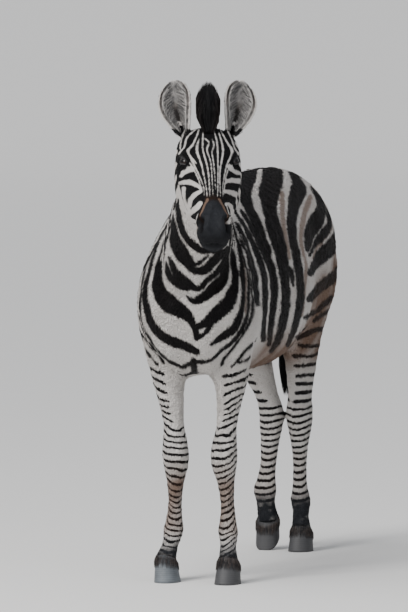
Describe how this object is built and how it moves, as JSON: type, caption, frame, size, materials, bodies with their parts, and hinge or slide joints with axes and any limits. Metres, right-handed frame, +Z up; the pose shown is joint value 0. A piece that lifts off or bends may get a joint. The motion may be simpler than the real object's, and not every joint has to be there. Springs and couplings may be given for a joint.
{
  "type": "zebra",
  "caption": "Young plains zebra standing at rest, life-size, its head turned to its left and its right hind hoof resting on the toe",
  "frame": {"origin": "on the floor, under the middle of the bounding box", "axes": "+Z is up, the animal faces -Y along its trunk and its left side is +X"},
  "size_m": [0.516, 1.788, 1.5189],
  "materials": {
    "coat": "short hair in black bands on a greyish white ground, rufous at the belly and thighs",
    "long_hair": "black upright mane and black tail tuft",
    "eye": "dark and wet",
    "horn": "dusty grey horn"
  },
  "bodies": {
    "root": {"trunk": "coat", "neck": "coat", "head": "coat", "ear_left": "coat", "ear_right": "coat", "leg_front_left": "coat", "leg_front_right": "coat", "leg_hind_left": "coat", "leg_hind_right": "coat", "tail": "coat", "mane": "long_hair", "tail_tuft": "long_hair", "eye_left": "eye", "eye_right": "eye", "hoof_front_left": "horn", "hoof_front_right": "horn", "hoof_hind_left": "horn", "hoof_hind_right": "horn"}
  },
  "joints": []
}
